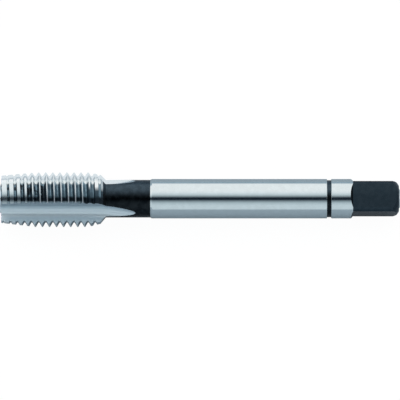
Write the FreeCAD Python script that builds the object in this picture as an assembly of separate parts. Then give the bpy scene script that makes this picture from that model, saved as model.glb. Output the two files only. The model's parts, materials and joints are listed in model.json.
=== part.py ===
import FreeCAD, Part
import math
import os

from FreeCAD import Vector

# Hand tap for a metric fine thread, ground from one bar of tool steel.
# Millimetres and degrees. The tap is shaped upright: its axis is Z, with the cutting tip at height 0
# and the drive square on top. Then it is laid down as it comes to rest on a bench. Angles about the
# axis are counted from the side that ends up underneath.

# Whole tap
overall_length = 70.8

# Front end: a low ground pad on the front face
front_pad_height = 0.22
front_pad_diameter = 5.2
front_pad_edge = 0.15

# Thread, M10 x 1.25, right hand
thread_diameter = 10.0
thread_pitch = 1.25
thread_flank_angle = 60.0
thread_depth_in_pitches = 0.6134
crest_flat_in_pitches = 0.125
underside_crest_height = 0.25
lead_length = 5.98
lead_front_diameter = 8.58
full_thread_height = 15.6
crest_taper_length = 2.2
crest_taper_diameter = 8.9
thread_back_angle = 50.0

# Flutes, cut by a grinding wheel that lifts out over the neck
flute_count = 3
flute_core_diameter = 4.4
flute_bottom_radius = 1.24
flute_heel_angle = 27.8
flute_straight_height = 15.8
flute_wheel_radius = 30.0

# Neck and shank
neck_diameter = 6.66
shank_start_height = 26.6
shank_chamfer_length = 0.3
shank_diameter = 6.97
shank_end_height = 62.45
ring_groove_to_shank_end = 4.21
ring_groove_width = 0.76
ring_groove_diameter = 6.56
ring_groove_edge = 0.05

# Drive square, its corners left as round as the shank
square_across_flats = 5.5
square_runout_angle = 60.0
square_turn = 12.05
square_chamfer_length = 1.1
square_chamfer_bulge = 0.1
square_end_diameter = 4.55
end_pad_height = 0.2
end_pad_diameter = 3.5
end_pad_edge = 0.2

# How far the cutters reach past the surfaces that they cut
cutter_overrun = 1.0

# Worked out from the sizes above
thread_radius = thread_diameter / 2
thread_root_radius = thread_radius - thread_depth_in_pitches * thread_pitch
shank_radius = shank_diameter / 2
flank_slope = math.tan(math.radians(thread_flank_angle / 2))
groove_overrun = thread_pitch / 25


def point(radius, height):
    """A point of the turned profile."""
    return Vector(radius, 0, height)


def bulged_edge(start, end, bulge):
    """An arc of the profile that stands out from its chord by the bulge."""
    chord = end - start
    outward = Vector(chord.z, 0, -chord.x).normalize()
    middle = (start + end) / 2 + outward * bulge
    return Part.Arc(start, middle, end).toShape()


def turned_blank():
    """The bar as it leaves the lathe and the cylindrical grinder, before thread, flutes and square."""
    front_face = front_pad_height
    crest_taper_end = full_thread_height + crest_taper_length
    crest_taper_radius = crest_taper_diameter / 2
    neck_radius = neck_diameter / 2
    back_length = (crest_taper_radius - neck_radius) / math.tan(math.radians(thread_back_angle))
    groove_middle = shank_end_height - ring_groove_to_shank_end
    groove_start = groove_middle - ring_groove_width / 2
    groove_end = groove_middle + ring_groove_width / 2
    groove_radius = ring_groove_diameter / 2
    end_face = overall_length - end_pad_height
    end_pad_radius = end_pad_diameter / 2
    below_chamfer = [
        point(0, 0),
        point(front_pad_diameter / 2 - front_pad_edge, 0),
        point(front_pad_diameter / 2, front_face),
        point(lead_front_diameter / 2, front_face),
        point(thread_radius, front_face + lead_length),
        point(thread_radius, full_thread_height),
        point(crest_taper_radius, crest_taper_end),
        point(neck_radius, crest_taper_end + back_length),
        point(neck_radius, shank_start_height),
        point(shank_radius, shank_start_height + shank_chamfer_length),
        point(shank_radius, groove_start - ring_groove_edge),
        point(shank_radius - ring_groove_edge, groove_start),
        point(groove_radius, groove_start),
        point(groove_radius, groove_end),
        point(shank_radius - ring_groove_edge, groove_end),
        point(shank_radius, groove_end + ring_groove_edge),
        point(shank_radius, end_face - square_chamfer_length),
    ]
    above_chamfer = [
        point(square_end_diameter / 2, end_face),
        point(end_pad_radius, end_face),
        point(end_pad_radius - end_pad_edge, overall_length),
        point(0, overall_length),
        point(0, 0),
    ]
    edges = Part.makePolygon(below_chamfer).Edges
    edges.append(bulged_edge(below_chamfer[-1], above_chamfer[0], square_chamfer_bulge))
    edges += Part.makePolygon(above_chamfer).Edges
    return Part.Face(Part.Wire(edges)).revolve(Vector(0, 0, 0), Vector(0, 0, 1), 360)


def thread_grooves():
    """The right-hand V-groove between the crests, as one short helical cut for each crossing of a land."""
    outer_radius = thread_radius + groove_overrun
    half_at_crest = thread_pitch * (1 - crest_flat_in_pitches) / 2
    half_at_root = half_at_crest - (thread_radius - thread_root_radius) * flank_slope
    half_outside = half_at_crest + groove_overrun * flank_slope
    section = Part.makePolygon(
        [
            point(thread_root_radius, -half_at_root),
            point(outer_radius, -half_outside),
            point(outer_radius, half_outside),
            point(thread_root_radius, half_at_root),
            point(thread_root_radius, -half_at_root),
        ]
    )
    edge_angle, heel_angle = crest_corner_angles()
    flute_step = 360 / flute_count
    start_angle = (edge_angle + heel_angle) / 4
    sweep_angle = flute_step - 2 * start_angle
    helix = Part.makeHelix(thread_pitch, thread_pitch * sweep_angle / 360, thread_radius)
    crossing = Part.Wire(helix).makePipeShell([section], True, True)
    first_height = underside_crest_height - thread_pitch / 2 - thread_pitch
    last_height = full_thread_height + crest_taper_length + thread_pitch
    crossings = math.ceil((last_height - first_height) / thread_pitch) * flute_count
    grooves = []
    for index in range(crossings):
        angle = start_angle + index * flute_step
        groove = around_axis(crossing, angle)
        groove.translate(Vector(0, 0, first_height + thread_pitch * angle / 360))
        grooves.append(groove)
    return grooves


def flute_section():
    """Section of one flute: u points out of its deepest line, v to its heel, which trails the cut."""
    bottom_centre = flute_core_diameter / 2 + flute_bottom_radius
    heel = math.radians(flute_heel_angle)
    heel_start_u = bottom_centre - flute_bottom_radius * math.cos(heel)
    heel_start_v = flute_bottom_radius * math.sin(heel)
    heel_end_u = heel_start_u + thread_radius * math.sin(heel)
    heel_end_v = heel_start_v + thread_radius * math.cos(heel)
    outside = max(thread_radius, heel_end_u) + cutter_overrun

    def spot(u, v):
        return Vector(u, -v, 0)

    rake_start = spot(bottom_centre, -flute_bottom_radius)
    heel_start = spot(heel_start_u, heel_start_v)
    bottom = Part.Arc(rake_start, spot(bottom_centre - flute_bottom_radius, 0), heel_start)
    walls = [
        spot(heel_end_u, heel_end_v),
        spot(outside, heel_end_v),
        spot(outside, -flute_bottom_radius),
    ]
    edges = [bottom.toShape()]
    corners = [heel_start] + walls + [rake_start]
    for first, second in zip(corners, corners[1:]):
        edges.append(Part.makeLine(first, second))
    return Part.Face(Part.Wire(edges))


def crest_corner_angles():
    """Angles of a flute's cutting edge and heel at the crest, from its deepest line."""
    edge = math.degrees(math.asin(flute_bottom_radius / thread_radius))
    bottom_centre = flute_core_diameter / 2 + flute_bottom_radius
    offset = bottom_centre * math.cos(math.radians(flute_heel_angle)) - flute_bottom_radius
    heel = 90 - flute_heel_angle - math.degrees(math.asin(offset / thread_radius))
    return edge, heel


def flute():
    """One flute: straight along the thread, then lifting out on the wheel's radius."""
    section = flute_section()
    straight = section.extrude(Vector(0, 0, flute_straight_height + cutter_overrun))
    straight.translate(Vector(0, 0, -cutter_overrun))
    wheel_centre = Vector(flute_core_diameter / 2 + flute_wheel_radius, 0, flute_straight_height)
    section.translate(Vector(0, 0, flute_straight_height))
    lift = thread_radius + cutter_overrun - flute_core_diameter / 2
    lift_angle = math.degrees(math.acos(1 - lift / flute_wheel_radius))
    runout = section.revolve(wheel_centre, Vector(0, 1, 0), lift_angle)
    return straight.fuse(runout).removeSplitter()


def square_cut():
    """What one flat of the drive square takes away, with its sloped run-out at the shank."""
    flat = square_across_flats / 2
    depth = shank_radius + cutter_overrun - flat
    slope = depth / math.tan(math.radians(square_runout_angle))
    top = overall_length + cutter_overrun
    half_width = shank_radius + cutter_overrun
    side = Part.makePolygon(
        [
            point(flat, shank_end_height),
            point(flat + depth, shank_end_height - slope),
            point(flat + depth, top),
            point(flat, top),
            point(flat, shank_end_height),
        ]
    )
    cut = Part.Face(side).extrude(Vector(0, 2 * half_width, 0))
    cut.translate(Vector(0, -half_width, 0))
    return cut


def around_axis(shape, angle):
    turned = shape.copy()
    turned.rotate(Vector(0, 0, 0), Vector(0, 0, 1), angle)
    return turned


def upright_tap():
    """The finished tap with one flute's opening centred over the underside."""
    edge_angle, heel_angle = crest_corner_angles()
    opening_turn = (heel_angle - edge_angle) / 2
    tap = turned_blank()
    for index in range(flute_count):
        tap = tap.cut(around_axis(flute(), opening_turn + index * 360 / flute_count))
    tap = tap.cut(thread_grooves())
    for index in range(4):
        tap = tap.cut(around_axis(square_cut(), square_turn + index * 90))
    return tap


def laid_down(tap):
    """Rests on the two crest corners beside the lower flute and on the shank's end edge."""
    edge_angle, heel_angle = crest_corner_angles()
    half_opening = math.radians((edge_angle + heel_angle) / 2)
    crest_drop = thread_radius * math.cos(half_opening)
    pitch = math.degrees(math.atan2(crest_drop - shank_radius, shank_end_height - full_thread_height))
    tap.rotate(Vector(0, 0, 0), Vector(0, 1, 0), 90 + pitch)
    box = tap.optimalBoundingBox()
    tap.translate(Vector(-box.Center.x, -box.Center.y, -box.ZMin))
    return tap


thread_tap = laid_down(upright_tap())

os.makedirs("parts", exist_ok=True)
thread_tap.exportStep("parts/thread_tap.step")
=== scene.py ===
import json
import math

import bmesh
import bpy
from mathutils import Matrix, Vector


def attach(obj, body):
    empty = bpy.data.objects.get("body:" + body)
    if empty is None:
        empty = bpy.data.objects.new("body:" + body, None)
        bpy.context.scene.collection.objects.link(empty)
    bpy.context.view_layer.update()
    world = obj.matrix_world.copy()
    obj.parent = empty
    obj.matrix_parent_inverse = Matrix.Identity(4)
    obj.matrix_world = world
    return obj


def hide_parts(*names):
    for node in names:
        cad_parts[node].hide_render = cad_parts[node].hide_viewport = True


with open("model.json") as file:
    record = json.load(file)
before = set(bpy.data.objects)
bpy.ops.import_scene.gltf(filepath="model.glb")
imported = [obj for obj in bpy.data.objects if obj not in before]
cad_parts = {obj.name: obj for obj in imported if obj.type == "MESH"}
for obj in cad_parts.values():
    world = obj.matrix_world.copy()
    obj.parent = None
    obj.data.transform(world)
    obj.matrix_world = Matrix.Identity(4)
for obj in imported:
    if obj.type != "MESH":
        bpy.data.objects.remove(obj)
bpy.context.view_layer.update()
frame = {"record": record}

# The tap, in millimetres and degrees, upright with its tip at height 0. Angles about the axis are counted
# from the side that ends up underneath. The sizes are those of the solid that this piece stands for.
overall_length = 70.8
front_pad_height = 0.22
front_pad_diameter = 5.2
front_pad_edge = 0.15

thread_diameter = 10.0
thread_pitch = 1.25
thread_flank_angle = 60.0
thread_depth_in_pitches = 0.6134
crest_flat_in_pitches = 0.125
underside_crest_height = 0.25
lead_length = 5.98
lead_front_diameter = 8.58
full_thread_height = 15.6
crest_taper_length = 2.2
crest_taper_diameter = 8.9
thread_back_angle = 50.0

flute_count = 3
flute_core_diameter = 4.4
flute_bottom_radius = 1.24
flute_heel_angle = 27.8
flute_straight_height = 15.8
flute_wheel_radius = 30.0

neck_diameter = 6.66
shank_start_height = 26.6
shank_chamfer_length = 0.3
shank_diameter = 6.97
shank_end_height = 62.45
ring_groove_to_shank_end = 4.21
ring_groove_width = 0.76
ring_groove_diameter = 6.56
ring_groove_edge = 0.05

square_across_flats = 5.5
square_runout_angle = 60.0
square_turn = 12.05
square_chamfer_length = 1.1
square_chamfer_bulge = 0.1
square_end_diameter = 4.55
end_pad_height = 0.2
end_pad_diameter = 3.5
end_pad_edge = 0.2

# Mesh fineness
columns = 180
arc_steps = 26
lift_step = 0.5
chamfer_steps = 8
flank_tries = 24
spare_grooves = 0.5
sharp_angle = 9.0
cutter_overrun = 1.0
square_cutter_gap = 0.05
weld_distance = 0.0005
cut_weld_distance = 0.0002
shortest_edge = 0.0001
millimetre = 0.001

# Material slots, in order
LEAD, CREST, LAST_CREST, BACK_FLANK, FRONT_FLANK, FLUTE, SHANK, OXIDE, SQUARE, END = range(10)

# Worked out from the sizes above
thread_radius = thread_diameter / 2
thread_root_radius = thread_radius - thread_depth_in_pitches * thread_pitch
shank_radius = shank_diameter / 2
neck_radius = neck_diameter / 2
flank_slope = math.tan(math.radians(thread_flank_angle / 2))
crest_flat = crest_flat_in_pitches * thread_pitch
half_root = (
    thread_pitch * (1 - crest_flat_in_pitches) / 2 - (thread_radius - thread_root_radius) * flank_slope
)
first_groove_height = underside_crest_height - 1.5 * thread_pitch
crest_taper_end = full_thread_height + crest_taper_length
back_length = (crest_taper_diameter / 2 - neck_radius) / math.tan(math.radians(thread_back_angle))
thread_end = crest_taper_end + back_length
flute_bottom_centre = flute_core_diameter / 2 + flute_bottom_radius

# The turned shape over the threaded end, as (height, radius)
crest_outline = [
    (front_pad_height, lead_front_diameter / 2),
    (front_pad_height + lead_length, thread_radius),
    (full_thread_height, thread_radius),
    (crest_taper_end, crest_taper_diameter / 2),
    (thread_end, neck_radius),
]


def crest_radius(height):
    """Radius of the turned shape at a height of the threaded end."""
    for (low, low_radius), (high, high_radius) in zip(crest_outline, crest_outline[1:]):
        if height <= high:
            share = (height - low) / (high - low)
            return low_radius + share * (high_radius - low_radius)
    return neck_radius


def surface_radius(height, turn):
    """Radius of the threaded surface at a height, a number of turns round from the underside."""
    phase = (height - first_groove_height) / thread_pitch - turn
    offset = abs(phase - round(phase)) * thread_pitch
    groove_radius = thread_root_radius + max(0, offset - half_root) / flank_slope
    return min(crest_radius(height), groove_radius)


def flank_top(root_height, direction):
    """Height at which a flank that starts at a root line meets the turned shape."""
    height = root_height
    for _ in range(flank_tries):
        rise = max(0, crest_radius(height) - thread_root_radius)
        height = root_height + direction * rise * flank_slope
    return height


def crest_middle(low, high):
    """A height between two flank tops: at a corner of the turned shape, or else halfway."""
    for height, _ in crest_outline[1:-1]:
        if low < height < high:
            return height
    return (low + high) / 2


def thread_column(turn, start, end, grooves):
    """Heights of the thread's lines along one straight line of the blank, bottom to top."""
    tops = []
    for index in range(grooves + 1):
        centre = first_groove_height + thread_pitch * (turn + index)
        low_root = centre - half_root
        high_root = centre + half_root
        tops.append((flank_top(low_root, -1), low_root, high_root, flank_top(high_root, 1)))
    heights = []
    for this, following in zip(tops, tops[1:]):
        heights += [*this, crest_middle(this[3], following[0])]
    return [min(max(height, start), end) for height in heights]


def on_blank(height, radius, turn):
    angle = 2 * math.pi * turn
    return Vector((radius * math.cos(angle), radius * math.sin(angle), height))


def bulged_line(start, end, bulge):
    """Rings of the end chamfer, which stands out from the straight line between its ends."""
    start = Vector(start)
    chord = Vector(end) - start
    outward = Vector((-chord.y, chord.x)).normalized()
    rings = []
    for step in range(1, chamfer_steps + 1):
        share = step / chamfer_steps
        spot = start + chord * share + outward * bulge * 4 * share * (1 - share)
        rings.append((spot.x, spot.y, SQUARE))
    return rings


def threaded_blank():
    """The bar with its thread cut all round, before flutes and square."""
    mesh = bmesh.new()
    start = front_pad_height
    end = crest_taper_end + (thread_end - crest_taper_end) / 2
    grooves = math.ceil((end - first_groove_height) / thread_pitch + spare_grooves)
    turns = [index / columns for index in range(columns)]
    grid = []
    for turn in turns:
        heights = thread_column(turn, start, end, grooves)
        grid.append([mesh.verts.new(on_blank(h, surface_radius(h, turn), turn)) for h in heights])
    lines_in_groove = 5
    back_rows = (0, 1)
    front_row = 2
    lead_end = front_pad_height + lead_length
    for index in range(columns):
        this = grid[index]
        following = grid[(index + 1) % columns]
        shift = lines_in_groove if index == columns - 1 else 0
        for row in range(len(this) - 1 - shift):
            corners = (
                this[row],
                following[row + shift],
                following[row + shift + 1],
                this[row + 1],
            )
            face = mesh.faces.new(corners)
            line = row % lines_in_groove
            if line in back_rows:
                face.material_index = BACK_FLANK
            elif line == front_row:
                face.material_index = FRONT_FLANK
            elif this[row].co.z < lead_end:
                face.material_index = LEAD
            elif this[row].co.z < full_thread_height + crest_flat:
                face.material_index = CREST
            else:
                face.material_index = LAST_CREST

    def ring(height, radius):
        return [mesh.verts.new(on_blank(height, radius, turn)) for turn in turns]

    def band(low, high, slot):
        for index in range(columns):
            following = (index + 1) % columns
            face = mesh.faces.new((low[index], low[following], high[following], high[index]))
            face.material_index = slot

    pad_radius = front_pad_diameter / 2
    pad_low = ring(0, pad_radius - front_pad_edge)
    pad_high = ring(front_pad_height, pad_radius)
    mesh.faces.new(list(reversed(pad_low))).material_index = END
    band(pad_low, pad_high, END)
    band(pad_high, [column[0] for column in grid], END)

    groove_middle = shank_end_height - ring_groove_to_shank_end
    groove_start = groove_middle - ring_groove_width / 2
    groove_end = groove_middle + ring_groove_width / 2
    end_face = overall_length - end_pad_height
    end_pad_radius = end_pad_diameter / 2
    rings = [
        (thread_end, neck_radius, OXIDE),
        (shank_start_height, neck_radius, OXIDE),
        (shank_start_height + shank_chamfer_length, shank_radius, SHANK),
        (groove_start - ring_groove_edge, shank_radius, SHANK),
        (groove_start, shank_radius - ring_groove_edge, SHANK),
        (groove_start, ring_groove_diameter / 2, OXIDE),
        (groove_end, ring_groove_diameter / 2, OXIDE),
        (groove_end, shank_radius - ring_groove_edge, OXIDE),
        (groove_end + ring_groove_edge, shank_radius, SHANK),
        (shank_end_height, shank_radius, SHANK),
        (end_face - square_chamfer_length, shank_radius, SQUARE),
        *bulged_line(
            (end_face - square_chamfer_length, shank_radius),
            (end_face, square_end_diameter / 2),
            square_chamfer_bulge,
        ),
        (end_face, end_pad_radius, SQUARE),
        (overall_length, end_pad_radius - end_pad_edge, END),
    ]
    low = [column[-1] for column in grid]
    for height, radius, slot in rings:
        high = ring(height, radius)
        band(low, high, slot)
        low = high
    mesh.faces.new(low).material_index = END
    bmesh.ops.remove_doubles(mesh, verts=mesh.verts, dist=weld_distance)
    bmesh.ops.recalc_face_normals(mesh, faces=mesh.faces)
    return mesh


def add_tube(mesh, sections, slot):
    """A closed body through a row of like sections, each a list of corners."""
    loops = [[mesh.verts.new(corner) for corner in section] for section in sections]
    for low, high in zip(loops, loops[1:]):
        for index in range(len(low)):
            following = (index + 1) % len(low)
            face = mesh.faces.new((low[index], low[following], high[following], high[index]))
            face.material_index = slot
    mesh.faces.new(list(reversed(loops[0]))).material_index = slot
    mesh.faces.new(loops[-1]).material_index = slot


def flute_outline():
    """Section of a flute as (u, v): u points out of its deepest line, v to its heel."""
    heel = math.radians(flute_heel_angle)
    outline = []
    for index in range(arc_steps + 1):
        angle = -math.pi / 2 + index / arc_steps * (math.pi / 2 + heel)
        u = flute_bottom_centre - flute_bottom_radius * math.cos(angle)
        v = flute_bottom_radius * math.sin(angle)
        outline.append((u, v))
    return outline


def crest_corner_angles():
    """Angles of a flute's cutting edge and heel at the crest, from its deepest line."""
    edge = math.degrees(math.asin(flute_bottom_radius / thread_radius))
    offset = flute_bottom_centre * math.cos(math.radians(flute_heel_angle)) - flute_bottom_radius
    heel = 90 - flute_heel_angle - math.degrees(math.asin(offset / thread_radius))
    return edge, heel


def cutters():
    """Everything that the flute wheel and the square's cutter take away, as one mesh of separate bodies."""
    mesh = bmesh.new()
    edge_angle, heel_angle = crest_corner_angles()
    outline = flute_outline()
    heel = math.radians(flute_heel_angle)
    heel_u = outline[-1][0] + thread_radius * math.sin(heel)
    heel_v = outline[-1][1] + thread_radius * math.cos(heel)
    outside = max(thread_radius, heel_u) + cutter_overrun
    outline += [(heel_u, heel_v), (outside, heel_v), (outside, -flute_bottom_radius)]
    lift = thread_radius + cutter_overrun - flute_core_diameter / 2
    lift_angle = math.degrees(math.acos(1 - lift / flute_wheel_radius))
    lift_steps = math.ceil(lift_angle / lift_step)
    wheel_u = flute_core_diameter / 2 + flute_wheel_radius
    for index in range(flute_count):
        turn = Matrix.Rotation(
            math.radians((heel_angle - edge_angle) / 2 + index * 360 / flute_count), 3, "Z"
        )
        sections = [[turn @ Vector((u, -v, -cutter_overrun)) for u, v in outline]]
        for step in range(lift_steps + 1):
            angle = math.radians(lift_angle * step / lift_steps)
            section = []
            for u, v in outline:
                arm = wheel_u - u
                height = flute_straight_height + arm * math.sin(angle)
                section.append(turn @ Vector((wheel_u - arm * math.cos(angle), -v, height)))
            sections.append(section)
        add_tube(mesh, sections, FLUTE)
    flat = square_across_flats / 2
    depth = shank_radius + cutter_overrun - flat
    slope = depth / math.tan(math.radians(square_runout_angle))
    half_width = flat - square_cutter_gap * flat
    for index in range(4):
        turn = Matrix.Rotation(math.radians(square_turn + 90 * index), 3, "Z")
        top = overall_length + cutter_overrun
        side = [
            (flat, shank_end_height),
            (flat + depth, shank_end_height - slope),
            (flat + depth, top),
            (flat, top),
        ]
        sections = []
        for y in (-half_width, half_width):
            sections.append([turn @ Vector((x, y, z)) for x, z in side])
        add_tube(mesh, sections, SQUARE)
    bmesh.ops.recalc_face_normals(mesh, faces=mesh.faces)
    return mesh


def to_object(mesh, name, materials):
    data = bpy.data.meshes.new(name)
    mesh.to_mesh(data)
    mesh.free()
    for material in materials:
        data.materials.append(material)
    thing = bpy.data.objects.new(name, data)
    bpy.context.scene.collection.objects.link(thing)
    return thing


def placement():
    """From the upright tap in millimetres to its place in the frame, read from the shank's mount."""
    mounts = {mount["name"]: mount for mount in frame["record"]["mounts"]}
    shank = mounts["shank"]
    along = Vector(shank["axis"]).normalized()
    across = Vector((0, 1, 0))
    under = across.cross(along)
    wall_start = shank_start_height + shank_chamfer_length
    wall_end = shank_end_height - ring_groove_to_shank_end - ring_groove_width / 2 - ring_groove_edge
    tip = Vector(shank["pos_m"]) - along * (wall_start + wall_end) / 2 * millimetre
    rows = Matrix((under, across, along)).transposed()
    return Matrix.Translation(tip) @ rows.to_4x4() @ Matrix.Scale(millimetre, 4)


def degrees_behind_edge(spot):
    """How far round from the nearest cutting edge a point of a land lies, against the cut."""
    edge_angle, heel_angle = crest_corner_angles()
    first_edge = (heel_angle - edge_angle) / 2 + edge_angle
    step = 360 / flute_count
    angle = math.degrees(math.atan2(spot.y, spot.x)) - first_edge
    return (angle + edge_angle) % step - edge_angle


def towards_heel(spot):
    """How far a point lies from the nearest flute's deepest line, towards that flute's heel."""
    edge_angle, heel_angle = crest_corner_angles()
    step = 360 / flute_count
    angle = math.degrees(math.atan2(spot.y, spot.x)) - (heel_angle - edge_angle) / 2
    angle = (angle + step / 2) % step - step / 2
    return -math.hypot(spot.x, spot.y) * math.sin(math.radians(angle))


def cut_tap(materials):
    """Cuts flutes and square out of the threaded blank and lays the tap in its place."""
    blank = to_object(threaded_blank(), "tap", materials)
    cutter = to_object(cutters(), "cutter", materials)
    cut = blank.modifiers.new("cut", "BOOLEAN")
    cut.operation = "DIFFERENCE"
    cut.solver = "EXACT"
    cut.object = cutter
    bpy.context.view_layer.update()
    graph = bpy.context.evaluated_depsgraph_get()
    result = bpy.data.meshes.new_from_object(blank.evaluated_get(graph))
    blank.modifiers.clear()
    blank.data = result
    bpy.data.objects.remove(cutter)
    mesh = bmesh.new()
    mesh.from_mesh(result)
    bmesh.ops.remove_doubles(mesh, verts=mesh.verts, dist=cut_weld_distance)
    bmesh.ops.dissolve_degenerate(mesh, edges=mesh.edges, dist=shortest_edge)
    bmesh.ops.triangulate(mesh, faces=[face for face in mesh.faces if len(face.verts) > 4])
    open_edges = sum(1 for edge in mesh.edges if not edge.is_manifold)
    print("tap mesh:", len(mesh.faces), "faces,", open_edges, "open edges")
    upright = mesh.verts.layers.float_vector.new("upright")
    behind_edge = mesh.verts.layers.float.new("behind_edge")
    heel_side = mesh.verts.layers.float.new("towards_heel")
    for vertex in mesh.verts:
        vertex[upright] = vertex.co
        vertex[behind_edge] = degrees_behind_edge(vertex.co)
        vertex[heel_side] = towards_heel(vertex.co)
    limit = math.radians(sharp_angle)
    for edge in mesh.edges:
        edge.smooth = len(edge.link_faces) == 2 and edge.calc_face_angle(0) < limit
    for face in mesh.faces:
        face.smooth = True
    mesh.transform(placement())
    mesh.to_mesh(result)
    mesh.free()
    result.update()
    return blank


def new_material(name):
    """A material with its node tree and its surface shader."""
    material = bpy.data.materials.new(name)
    material.use_nodes = True
    return material, material.node_tree, material.node_tree.nodes["Principled BSDF"]


def calculated(tree, operation, *values):
    """The result of a sum on values, each of them a number or the output of a node."""
    node = tree.nodes.new("ShaderNodeMath")
    node.operation = operation
    for socket, value in zip(node.inputs, values):
        if isinstance(value, (int, float)):
            socket.default_value = value
        else:
            tree.links.new(value, socket)
    return node.outputs["Value"]


def attribute(tree, name):
    """A value or place that the tap's mesh carries at each point."""
    node = tree.nodes.new("ShaderNodeAttribute")
    node.attribute_name = name
    return node


def between(tree, value, low, high, low_value, high_value):
    """A smooth step of a value, from one number to another."""
    step = tree.nodes.new("ShaderNodeMapRange")
    step.interpolation_type = "SMOOTHSTEP"
    step.inputs["From Min"].default_value = low
    step.inputs["From Max"].default_value = high
    step.inputs["To Min"].default_value = low_value
    step.inputs["To Max"].default_value = high_value
    tree.links.new(value, step.inputs["Value"])
    return step.outputs["Result"]


def mixed(tree, share, first, second):
    """A colour between two, each of them a colour or the output of a node."""
    mix = tree.nodes.new("ShaderNodeMix")
    mix.data_type = "RGBA"
    tree.links.new(share, mix.inputs["Factor"])
    for name, colour in (("A", first), ("B", second)):
        if isinstance(colour, tuple):
            mix.inputs[name].default_value = (*colour, 1)
        else:
            tree.links.new(colour, mix.inputs[name])
    return mix.outputs["Result"]


def clouded(tree, clouds, first, second, low=0.35, high=0.7):
    """A colour that goes with the clouds from one to another."""
    return mixed(tree, between(tree, clouds, low, high, 0, 1), first, second)


def cloud(tree, scale, detail):
    """Noise over the upright tap, in features a millimetre."""
    place = attribute(tree, "upright")
    clouds = tree.nodes.new("ShaderNodeTexNoise")
    clouds.inputs["Scale"].default_value = scale
    clouds.inputs["Detail"].default_value = detail
    tree.links.new(place.outputs["Vector"], clouds.inputs["Vector"])
    return clouds.outputs["Fac"]


def painted_light_share(tree, side, low, high):
    """How much a place faces the side of the tap on which light is painted, coloured lighter there as if
    lit.
    """
    across = tree.nodes.new("ShaderNodeVectorMath")
    across.operation = "MULTIPLY"
    across.inputs[1].default_value = (1, 1, 0)
    tree.links.new(attribute(tree, "upright").outputs["Vector"], across.inputs[0])
    outward = tree.nodes.new("ShaderNodeVectorMath")
    outward.operation = "NORMALIZE"
    tree.links.new(across.outputs["Vector"], outward.inputs[0])
    facing = tree.nodes.new("ShaderNodeVectorMath")
    facing.operation = "DOT_PRODUCT"
    angle = math.radians(side)
    facing.inputs[1].default_value = (math.cos(angle), math.sin(angle), 0)
    tree.links.new(outward.outputs["Vector"], facing.inputs[0])
    return between(tree, facing.outputs["Value"], low, high, 0, 1)


def grinding_lines(tree, scale):
    """Noise that is finer or coarser along each axis of the upright tap."""
    stretch = tree.nodes.new("ShaderNodeMapping")
    stretch.inputs["Scale"].default_value = scale
    lines = tree.nodes.new("ShaderNodeTexNoise")
    lines.inputs["Scale"].default_value = 1
    lines.inputs["Detail"].default_value = line_detail
    tree.links.new(attribute(tree, "upright").outputs["Vector"], stretch.inputs["Vector"])
    tree.links.new(stretch.outputs["Vector"], lines.inputs["Vector"])
    return lines.outputs["Fac"]


def bumped(tree, shader, height, depth):
    """Lets a height stand out of the surface, by a depth in millimetres."""
    bump = tree.nodes.new("ShaderNodeBump")
    bump.inputs["Distance"].default_value = depth * millimetre
    tree.links.new(height, bump.inputs["Height"])
    tree.links.new(bump.outputs["Normal"], shader.inputs["Normal"])


def ground(tree, shader, roughness, line_scale, line_depth):
    """Gives a surface fine grinding lines."""
    lines = grinding_lines(tree, line_scale)
    smooth = roughness * (1 - roughness_spread)
    rough = roughness * (1 + roughness_spread)
    tree.links.new(between(tree, lines, 0, 1, smooth, rough), shader.inputs["Roughness"])
    bumped(tree, shader, lines, line_depth)


def ground_steel(name, roughness, line_scale, line_depth):
    """Ground steel: bright, faintly mottled metal with grinding lines."""
    material, tree, shader = new_material(name)
    shader.inputs["Metallic"].default_value = 1
    duller = tuple(part * steel_mottling for part in steel_colour)
    mottles = cloud(tree, *mottle_cloud)
    tree.links.new(clouded(tree, mottles, duller, steel_colour), shader.inputs["Base Color"])
    ground(tree, shader, roughness, line_scale, line_depth)
    return material


def ground_flute():
    """Ground steel with lengthwise lines, flatter along its bottom, with a painted shade up the heel's wall,
    and painted light on one side: paler walls and slightly darker bottoms there.
    """
    material, tree, shader = new_material("ground_flute")
    shader.inputs["Metallic"].default_value = 1
    side = attribute(tree, "towards_heel").outputs["Fac"]
    # painted shade: the heel's wall is coloured darker
    up_wall = between(tree, side, *flute_wall_from_to, 0, 1)
    tint = mixed(tree, up_wall, flute_colour, flute_wall_painted_shade)
    # painted light: on one side the flutes' walls are coloured paler and their bottoms a little darker, as
    # if lit
    lit_side = painted_light_share(tree, flute_painted_light_side, *flute_painted_light_from_to)
    tree.links.new(mixed(tree, lit_side, tint, flute_painted_light_colour), shader.inputs["Base Color"])
    tree.links.new(between(tree, lit_side, 0, 1, *flute_roughness), shader.inputs["Roughness"])
    rise = between(tree, side, *flute_rise_from_to, 0, flute_rise / flute_line_depth)
    height = calculated(tree, "ADD", grinding_lines(tree, flute_lines), rise)
    bumped(tree, shader, height, flute_line_depth)
    return material


def ground_crest(name, colour, dull_colour, roughness):
    """Ground steel on top of the thread: paler by the cutting edge and duller far behind it."""
    material, tree, shader = new_material(name)
    behind = attribute(tree, "behind_edge").outputs["Fac"]
    away = between(tree, behind, *crest_pale_from_to, 0, 1)
    dull = between(tree, behind, *crest_dull_from_to, 0, 1)
    front = mixed(tree, away, crest_edge_colour, colour)
    tree.links.new(mixed(tree, dull, front, dull_colour), shader.inputs["Base Color"])
    tree.links.new(between(tree, away, 0, 1, crest_edge_metal, 1), shader.inputs["Metallic"])
    ground(tree, shader, roughness, crest_lines, crest_line_depth)
    return material


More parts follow.
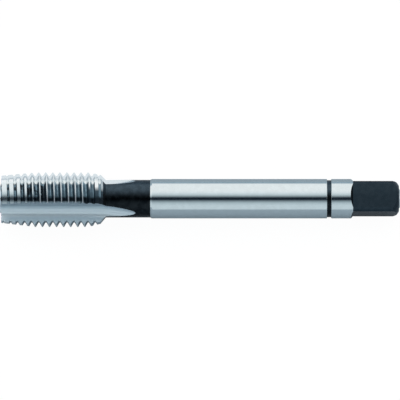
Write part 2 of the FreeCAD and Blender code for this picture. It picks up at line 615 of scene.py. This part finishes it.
def black_oxide(name, black, painted_sheen):
    """Black oxide over ground steel: a dark, cloudy metal sheen, with a paler painted sheen on the side
    where the light falls.
    """
    material, tree, shader = new_material(name)
    shader.inputs["Metallic"].default_value = 1
    clouds = cloud(tree, *oxide_cloud)
    # painted sheen: the side that faces the light is coloured paler
    share = painted_light_share(tree, painted_light_side, *painted_light_from_to)
    dark_side = clouded(tree, clouds, *black)
    painted_sheen_side = clouded(tree, clouds, *painted_sheen)
    tree.links.new(mixed(tree, share, dark_side, painted_sheen_side), shader.inputs["Base Color"])
    tree.links.new(between(tree, clouds, 0, 1, *oxide_roughness), shader.inputs["Roughness"])
    return material


def dark_thread(name, painted_shade, dark_from_to):
    """A strip of the thread with painted light and shade: bright behind each cutting edge, a painted
    highlight on one side and grey elsewhere, then a dark painted shade, cloudy in front and even behind.
    """
    material, tree, shader = new_material(name)
    clouds = cloud(tree, *groove_cloud)
    behind = attribute(tree, "behind_edge").outputs["Fac"]
    place = tree.nodes.new("ShaderNodeSeparateXYZ")
    tree.links.new(attribute(tree, "upright").outputs["Vector"], place.inputs["Vector"])
    height = place.outputs["Z"]

    ragged = calculated(tree, "MULTIPLY_ADD", clouds, groove_ragged, behind)
    # painted shade: far behind the cutting edge the grooves are coloured black
    black = between(tree, ragged, *groove_painted_black_from_to, 0, 1)
    # painted shade: paler on the back flanks, darker on the front flanks and last crests
    cloudy = clouded(tree, clouds, groove_painted_black, painted_shade, *groove_cloud_from_to)
    even = between(tree, height, *groove_even_from_to, 0, groove_evenness)
    dull = mixed(tree, black, mixed(tree, even, cloudy, painted_shade), groove_painted_black)
    # painted highlight: by the cutting edge the grooves are coloured white on the lit side and grey
    # elsewhere
    lit_side = painted_light_share(tree, painted_light_side, *groove_painted_light_from_to)
    bright = mixed(tree, lit_side, groove_shaded_grey, groove_painted_highlight)
    # painted shade: behind the bright strip the grooves are coloured dark
    dark = between(tree, ragged, *dark_from_to, 0, 1)
    tint = mixed(tree, dark, bright, dull)
    by_heel = between(tree, behind, *groove_ground_from_to, 0, 1)
    before_neck = between(tree, height, *groove_ground_until, 1, 0)
    reground = calculated(tree, "MULTIPLY", by_heel, before_neck)
    tree.links.new(mixed(tree, reground, tint, dull_steel_colour), shader.inputs["Base Color"])
    tree.links.new(between(tree, dark, 0, 1, *groove_metal), shader.inputs["Metallic"])
    tree.links.new(between(tree, clouds, 0, 1, *groove_roughness), shader.inputs["Roughness"])
    return material


# Looks. A cloud is its scale, in features a millimetre, and its detail. Lines are features a millimetre
# along each axis, and their depths are millimetres.
line_detail = 3
roughness_spread = 0.2
mottle_cloud = (0.9, 2)
steel_mottling = 0.96
steel_colour = (0.74, 0.81, 0.83)
dull_steel_colour = (0.42, 0.52, 0.58)
shank_roughness = 0.13
shank_lines = (0.8, 0.8, 40)
shank_line_depth = 0.0003
end_roughness = 0.25
end_lines = (6, 6, 6)
end_line_depth = 0.0004

# Crests, with how far behind a cutting edge they change, in degrees
lead_roughness = 0.2
crest_roughness = 0.42
crest_lines = (2, 2, 30)
crest_line_depth = 0.0004
crest_colour = (0.86, 0.92, 0.94)
crest_dull_colour = (0.80, 0.83, 0.87)
crest_edge_colour = (0.96, 0.99, 1.0)
crest_edge_metal = 0.8
crest_pale_from_to = (8.0, 20.0)
crest_dull_from_to = (42.0, 56.0)

# Flutes, with the side of the tap on which light is painted into their colour, in degrees about the axis
flute_colour = (0.84, 0.92, 0.96)
flute_wall_painted_shade = (0.46, 0.54, 0.60)
flute_painted_light_colour = (0.72, 0.79, 0.83)
flute_painted_light_side = 115.0
flute_painted_light_from_to = (0.2, 0.6)
flute_roughness = (0.5, 0.25)
flute_lines = (5, 5, 0.12)
flute_line_depth = 0.03

# Millimetres from a flute's deepest line towards its heel, over which the heel's wall turns to its painted
# shade and the bottom rises, and the millimetres by which its bottom rises
flute_wall_from_to = (0.0, 1.6)
flute_rise_from_to = (-1.4, -0.4)
flute_rise = 0.3

# Black oxide's darker and paler clouds, on its dark side and on the side with its painted sheen
oxide_black = ((0.010, 0.013, 0.016), (0.020, 0.025, 0.029))
oxide_painted_sheen = ((0.044, 0.066, 0.085), (0.062, 0.092, 0.118))
square_black = ((0.026, 0.040, 0.052), (0.034, 0.050, 0.064))
square_painted_sheen = ((0.032, 0.048, 0.062), (0.042, 0.060, 0.074))
oxide_cloud = (1.2, 6)
oxide_roughness = (0.2, 0.34)

# The side on which the oxide and the grooves get painted light, a lighter colour as if lit, about the axis,
# and how close to that side the change comes
painted_light_side = 154.0
painted_light_from_to = (0.72, 1.02)
groove_painted_light_from_to = (0.6, 0.85)

# Degrees behind a cutting edge over which the grooves turn to a dark and then a black painted shade
groove_dark_from_to = (20.0, 27.0)
last_crest_dark_from_to = (31.0, 45.0)
groove_painted_black_from_to = (54.0, 61.0)
groove_ragged = 10.0

# Millimetres from the tip over which the dark grooves turn even, and how even they are behind that
groove_even_from_to = (7.5, 9.5)
groove_evenness = 0.65

# Degrees behind a cutting edge over which the grooves are ground again at the heel, and from the tip
# the millimetres over which that ends
groove_ground_from_to = (60.5, 65.0)
groove_ground_until = (13.5, 15.5)

# The grooves' colours: a painted highlight and grey by the cutting edge, a black painted shade, and painted
# shades paler on the back flanks and darker on the front flanks and last crests; and what changes with their
# clouds and from bright to dark
groove_painted_highlight = (0.96, 1.0, 1.0)
groove_shaded_grey = (0.48, 0.56, 0.60)
groove_painted_black = (0.011, 0.021, 0.031)
paler_painted_shade = (0.29, 0.44, 0.53)
darker_painted_shade = (0.05, 0.09, 0.12)
groove_cloud = (1.1, 4)
groove_cloud_from_to = (0.4, 0.6)
groove_metal = (0.8, 0.4)
groove_roughness = (0.25, 0.45)


def tap_materials():
    """One material for each slot of the tap's mesh, in the order of the slots."""
    return [
        ground_crest("ground_lead", steel_colour, steel_colour, lead_roughness),
        ground_crest("ground_crest", crest_colour, crest_dull_colour, crest_roughness),
        dark_thread("last_crest", darker_painted_shade, last_crest_dark_from_to),
        dark_thread("thread_back_flank", paler_painted_shade, groove_dark_from_to),
        dark_thread("thread_front_flank", darker_painted_shade, groove_dark_from_to),
        ground_flute(),
        ground_steel("ground_shank", shank_roughness, shank_lines, shank_line_depth),
        black_oxide("black_oxide", oxide_black, oxide_painted_sheen),
        black_oxide("square_oxide", square_black, square_painted_sheen),
        ground_steel("ground_end", end_roughness, end_lines, end_line_depth),
    ]


def make_tap():
    tap = cut_tap(tap_materials())
    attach(tap, "root")
    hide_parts("thread_tap")
    return tap


camera_elevation = 65.95
camera_lens = 800.0
sensor_width = 36.0
picture_width = 400
millimetres_per_pixel = 0.177
axis_row = 198.7


def make_camera(place):
    """Looks down on the lying tap from its front side, level with the tap's axis in the picture."""
    along = (place.to_3x3() @ Vector((0, 0, 1))).normalized()
    elevation = math.radians(camera_elevation)
    back = Vector((0, -math.cos(elevation), math.sin(elevation)))
    back = (back - along * back.dot(along)).normalized()
    up = back.cross(along)
    seen_width = picture_width * millimetres_per_pixel
    centre = place @ Vector((0, 0, seen_width / 2))
    below_axis = (picture_width / 2 - axis_row) * millimetres_per_pixel * millimetre
    target = centre - up * below_axis
    distance = seen_width * millimetre * camera_lens / sensor_width
    data = bpy.data.cameras.new("camera")
    data.lens = camera_lens
    data.sensor_width = sensor_width
    camera = bpy.data.objects.new("camera", data)
    rotation = Matrix((along, up, back)).transposed().to_4x4()
    camera.matrix_world = Matrix.Translation(target + back * distance) @ rotation
    bpy.context.scene.collection.objects.link(camera)
    bpy.context.scene.camera = camera


# The studio's light, by the angle about the tap's length: 0 is level in front, 90 straight up
light_panels = [
    (0, (0.66, 0.74, 0.78)),
    (25, (0.66, 0.74, 0.78)),
    (40, (0.52, 0.60, 0.64)),
    (53, (0.22, 0.27, 0.30)),
    (60, (0.004, 0.010, 0.020)),
    (72, (0.004, 0.010, 0.020)),
    (80, (0.30, 0.35, 0.38)),
    (90, (0.66, 0.73, 0.76)),
    (104, (0.92, 0.94, 0.96)),
    (118, (1.0, 1.0, 1.0)),
    (162, (1.0, 1.0, 1.0)),
    (171, (0.32, 0.42, 0.50)),
    (180, (0.32, 0.42, 0.50)),
]

# The floor: its size in metres, its own colour, how it looks to the camera, and how much of that look
# shows in the metal
floor_size = 3.0
floor_colour = (0.40, 0.50, 0.58)
floor_roughness = 0.8
floor_glow = 0.965
floor_shade = 0.07
floor_in_metal = 0.1


def make_world():
    """A wide white panel behind and above, a paler one in front, and a dark gap where the camera stands."""
    world = bpy.data.worlds.new("studio")
    world.use_nodes = True
    tree = world.node_tree
    nodes = tree.nodes
    link = tree.links.new
    place = nodes.new("ShaderNodeTexCoord")
    split = nodes.new("ShaderNodeSeparateXYZ")
    link(place.outputs["Generated"], split.inputs["Vector"])
    front = calculated(tree, "MULTIPLY", split.outputs["Y"], -1)
    angle = calculated(tree, "ARCTAN2", split.outputs["Z"], front)
    share = calculated(tree, "DIVIDE", angle, math.pi)
    ramp = nodes.new("ShaderNodeValToRGB")
    stops = ramp.color_ramp.elements
    stops[0].color = (*light_panels[0][1], 1)
    stops[1].color = (*light_panels[-1][1], 1)
    for degrees, colour in light_panels[1:-1]:
        stops.new(degrees / 180).color = (*colour, 1)
    link(share, ramp.inputs["Fac"])
    panels = nodes["Background"]
    link(ramp.outputs["Color"], panels.inputs["Color"])
    white = nodes.new("ShaderNodeBackground")
    white.inputs["Color"].default_value = (1, 1, 1, 1)
    path = nodes.new("ShaderNodeLightPath")
    seen = calculated(
        tree, "MAXIMUM", path.outputs["Is Camera Ray"], path.outputs["Is Transmission Ray"]
    )
    mix = nodes.new("ShaderNodeMixShader")
    link(seen, mix.inputs["Fac"])
    link(panels.outputs["Background"], mix.inputs[1])
    link(white.outputs["Background"], mix.inputs[2])
    link(mix.outputs["Shader"], nodes["World Output"].inputs["Surface"])
    bpy.context.scene.world = world


def make_floor():
    """A plain pale floor: white where the camera looks, with the tap's soft shadow."""
    mesh = bmesh.new()
    half = floor_size / 2
    corners = [mesh.verts.new((x * half, y * half, 0)) for x, y in ((-1, -1), (1, -1), (1, 1), (-1, 1))]
    mesh.faces.new(corners)
    material, tree, surface = new_material("pale_floor")
    nodes = tree.nodes
    surface.inputs["Base Color"].default_value = (*floor_colour, 1)
    surface.inputs["Roughness"].default_value = floor_roughness
    glow = nodes.new("ShaderNodeEmission")
    glow.inputs["Strength"].default_value = floor_glow
    shade = nodes.new("ShaderNodeBsdfDiffuse")
    shade.inputs["Color"].default_value = (floor_shade, floor_shade, floor_shade, 1)
    seen = nodes.new("ShaderNodeAddShader")
    tree.links.new(glow.outputs["Emission"], seen.inputs[0])
    tree.links.new(shade.outputs["BSDF"], seen.inputs[1])
    path = nodes.new("ShaderNodeLightPath")
    in_metal = calculated(tree, "MULTIPLY", path.outputs["Is Glossy Ray"], floor_in_metal)
    in_metal_or_glass = calculated(tree, "MAXIMUM", in_metal, path.outputs["Is Transmission Ray"])
    as_seen = calculated(tree, "MAXIMUM", in_metal_or_glass, path.outputs["Is Camera Ray"])
    mix = nodes.new("ShaderNodeMixShader")
    tree.links.new(as_seen, mix.inputs["Fac"])
    tree.links.new(surface.outputs["BSDF"], mix.inputs[1])
    tree.links.new(seen.outputs["Shader"], mix.inputs[2])
    tree.links.new(mix.outputs["Shader"], nodes["Material Output"].inputs["Surface"])
    floor = to_object(mesh, "floor", [material])


make_tap()
make_camera(placement())
make_floor()
make_world()
bpy.context.scene.view_settings.view_transform = "Standard"
